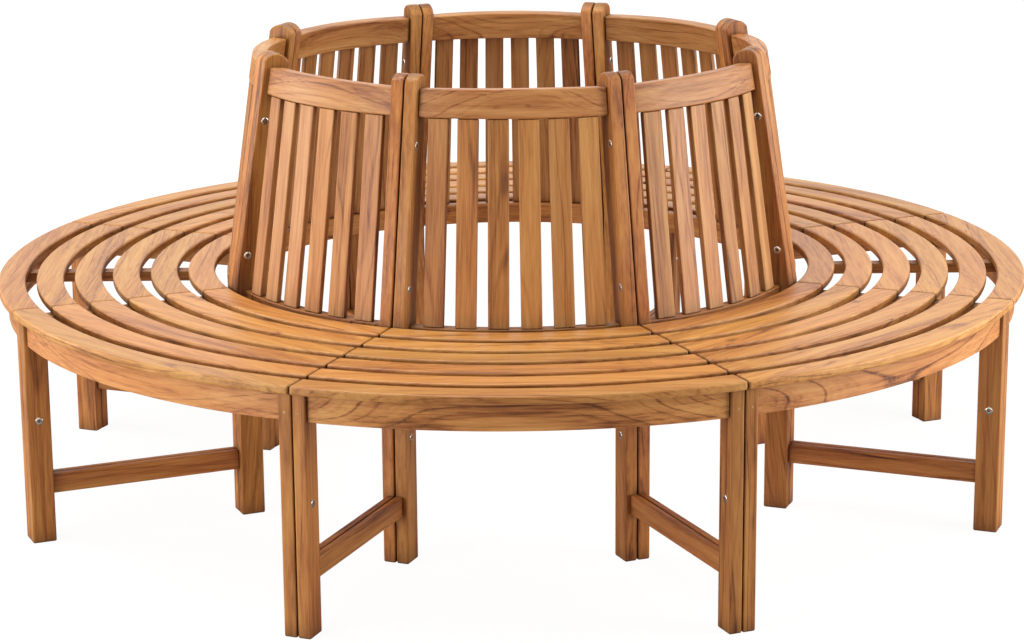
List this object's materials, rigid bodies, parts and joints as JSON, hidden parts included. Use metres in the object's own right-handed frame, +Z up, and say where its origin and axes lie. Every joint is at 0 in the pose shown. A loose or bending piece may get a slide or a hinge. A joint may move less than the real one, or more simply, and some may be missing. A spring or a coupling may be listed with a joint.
{
  "type": "circular tree bench",
  "caption": "Round slatted teak bench with a leaning slatted back, built as curved sections that bolt together in a ring around a tree trunk.",
  "frame": {"origin": "on the ground in the middle of the ring, where the tree trunk's axis meets the floor", "axes": "+Z up; -Y toward the middle of the front section and away from the back section; +X to the right seen from the front"},
  "size_m": [2, 2, 0.8914],
  "materials": {
    "teak_legs": "oiled teak, sanded",
    "teak_bars": "oiled teak, sanded",
    "teak_rails": "oiled teak, sanded",
    "teak_seat": "oiled teak, sanded",
    "teak_back": "oiled teak, sanded",
    "dowel": "cut flush and sanded",
    "steel": "satin stainless steel"
  },
  "bodies": {
    "root": {"front_legs_1": "teak_legs", "back_posts_1": "teak_legs", "stretchers_1": "teak_bars", "seat_bearers_1": "teak_bars", "rails_1": "teak_rails", "seat_slats_1": "teak_seat", "back_slats_1": "teak_back", "front_legs_2": "teak_legs", "back_posts_2": "teak_legs", "stretchers_2": "teak_bars", "seat_bearers_2": "teak_bars", "rails_2": "teak_rails", "seat_slats_2": "teak_seat", "back_slats_2": "teak_back", "front_legs_3": "teak_legs", "back_posts_3": "teak_legs", "stretchers_3": "teak_bars", "seat_bearers_3": "teak_bars", "rails_3": "teak_rails", "seat_slats_3": "teak_seat", "back_slats_3": "teak_back", "front_legs_4": "teak_legs", "back_posts_4": "teak_legs", "stretchers_4": "teak_bars", "seat_bearers_4": "teak_bars", "rails_4": "teak_rails", "seat_slats_4": "teak_seat", "back_slats_4": "teak_back", "front_legs_5": "teak_legs", "back_posts_5": "teak_legs", "stretchers_5": "teak_bars", "seat_bearers_5": "teak_bars", "rails_5": "teak_rails", "seat_slats_5": "teak_seat", "back_slats_5": "teak_back", "front_legs_6": "teak_legs", "back_posts_6": "teak_legs", "stretchers_6": "teak_bars", "seat_bearers_6": "teak_bars", "rails_6": "teak_rails", "seat_slats_6": "teak_seat", "back_slats_6": "teak_back", "front_legs_7": "teak_legs", "back_posts_7": "teak_legs", "stretchers_7": "teak_bars", "seat_bearers_7": "teak_bars", "rails_7": "teak_rails", "seat_slats_7": "teak_seat", "back_slats_7": "teak_back", "front_legs_8": "teak_legs", "back_posts_8": "teak_legs", "stretchers_8": "teak_bars", "seat_bearers_8": "teak_bars", "rails_8": "teak_rails", "seat_slats_8": "teak_seat", "back_slats_8": "teak_back", "joint_bolts": "steel", "sleeve_nuts": "steel", "seat_screws": "steel", "tenon_pins": "dowel"}
  },
  "joints": []
}
